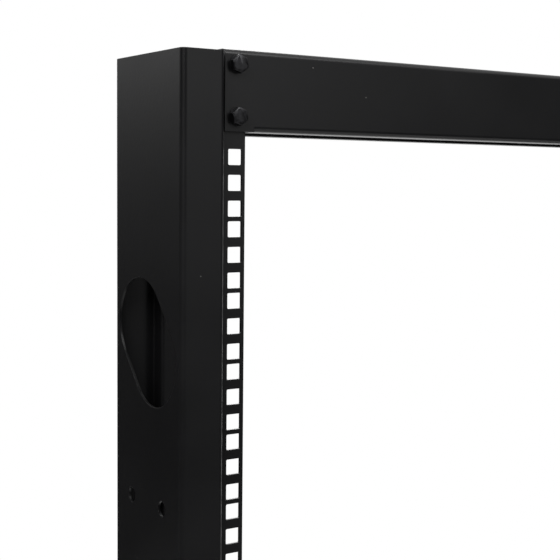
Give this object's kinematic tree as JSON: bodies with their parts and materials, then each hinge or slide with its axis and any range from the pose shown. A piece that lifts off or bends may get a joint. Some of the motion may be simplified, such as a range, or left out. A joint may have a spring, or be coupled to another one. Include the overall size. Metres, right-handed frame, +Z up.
{
  "type": "two post open frame rack",
  "caption": "Free-standing open frame rack: folded sheet posts with recessed square hole rails, top and bottom beams, and tube feet with gussets and levelling pads.",
  "frame": {"origin": "middle of the rack on the floor, under the posts", "axes": "+X to the rack's right, +Y to its rear, +Z up"},
  "size_m": [0.5526, 0.6, 2.0642],
  "materials": {
    "powder_coated_steel": "satin black powder coat with a fine orange peel",
    "moulded_plastic": "matte black moulded plastic",
    "zinc_plated_steel": "bright zinc plate with rolled threads"
  },
  "bodies": {
    "root": {"post_left": "powder_coated_steel", "post_right": "powder_coated_steel", "rail_front_left": "powder_coated_steel", "rail_front_right": "powder_coated_steel", "rail_rear_left": "powder_coated_steel", "rail_rear_right": "powder_coated_steel", "top_beam": "powder_coated_steel", "bottom_beam": "powder_coated_steel", "foot_left": "powder_coated_steel", "foot_right": "powder_coated_steel", "base_plate_left": "powder_coated_steel", "base_plate_right": "powder_coated_steel", "gusset_front_left": "powder_coated_steel", "gusset_front_right": "powder_coated_steel", "gusset_rear_left": "powder_coated_steel", "gusset_rear_right": "powder_coated_steel", "foot_cap_front_left": "moulded_plastic", "foot_cap_front_right": "moulded_plastic", "foot_cap_rear_left": "moulded_plastic", "foot_cap_rear_right": "moulded_plastic", "levelling_pad_front_left": "moulded_plastic", "levelling_pad_front_right": "moulded_plastic", "levelling_pad_rear_left": "moulded_plastic", "levelling_pad_rear_right": "moulded_plastic", "levelling_stud_front_left": "zinc_plated_steel", "levelling_stud_front_right": "zinc_plated_steel", "levelling_stud_rear_left": "zinc_plated_steel", "levelling_stud_rear_right": "zinc_plated_steel"}
  },
  "joints": []
}
